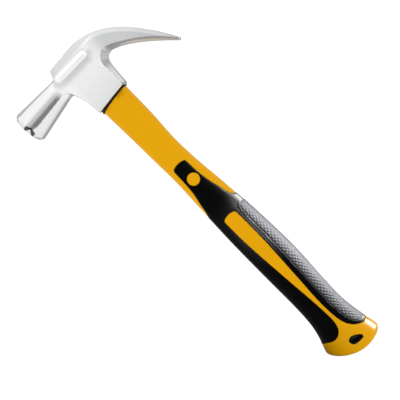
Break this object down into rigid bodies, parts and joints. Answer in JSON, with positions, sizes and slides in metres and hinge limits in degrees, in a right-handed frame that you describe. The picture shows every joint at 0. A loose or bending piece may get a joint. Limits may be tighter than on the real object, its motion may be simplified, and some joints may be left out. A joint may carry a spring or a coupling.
{
  "type": "claw hammer",
  "caption": "Claw hammer: forged steel head with a bell-faced poll and a curved split claw, on a fibreglass-cored handle moulded in yellow with a black rubber grip.",
  "frame": {"origin": "centre of the striking face, on the poll's axis and in the hammer's mid-plane", "axes": "+X from the striking face along the poll towards the claw, +Y up the eye towards the crown with the handle's butt towards -Y, +Z out of the upper cheek, square to the hammer's mid-plane"},
  "size_m": [0.1346, 0.328, 0.0284],
  "materials": {
    "forged_steel": "satin, polished on the flats",
    "fibreglass": "pultruded, satin",
    "resin": "cast, glossy",
    "seal_rubber": "smooth",
    "yellow_plastic": "moulded, semi-gloss",
    "grip_rubber": "smooth, satin",
    "textured_rubber": "diamond knurl",
    "liner_rubber": "smooth"
  },
  "bodies": {
    "root": {"head": "forged_steel", "core_rod": "fibreglass", "eye_resin": "resin", "neck_seal": "seal_rubber", "handle_jacket": "yellow_plastic", "grip_overmould": "grip_rubber", "rear_pad": "textured_rubber", "hang_hole_liner": "liner_rubber"}
  },
  "joints": []
}
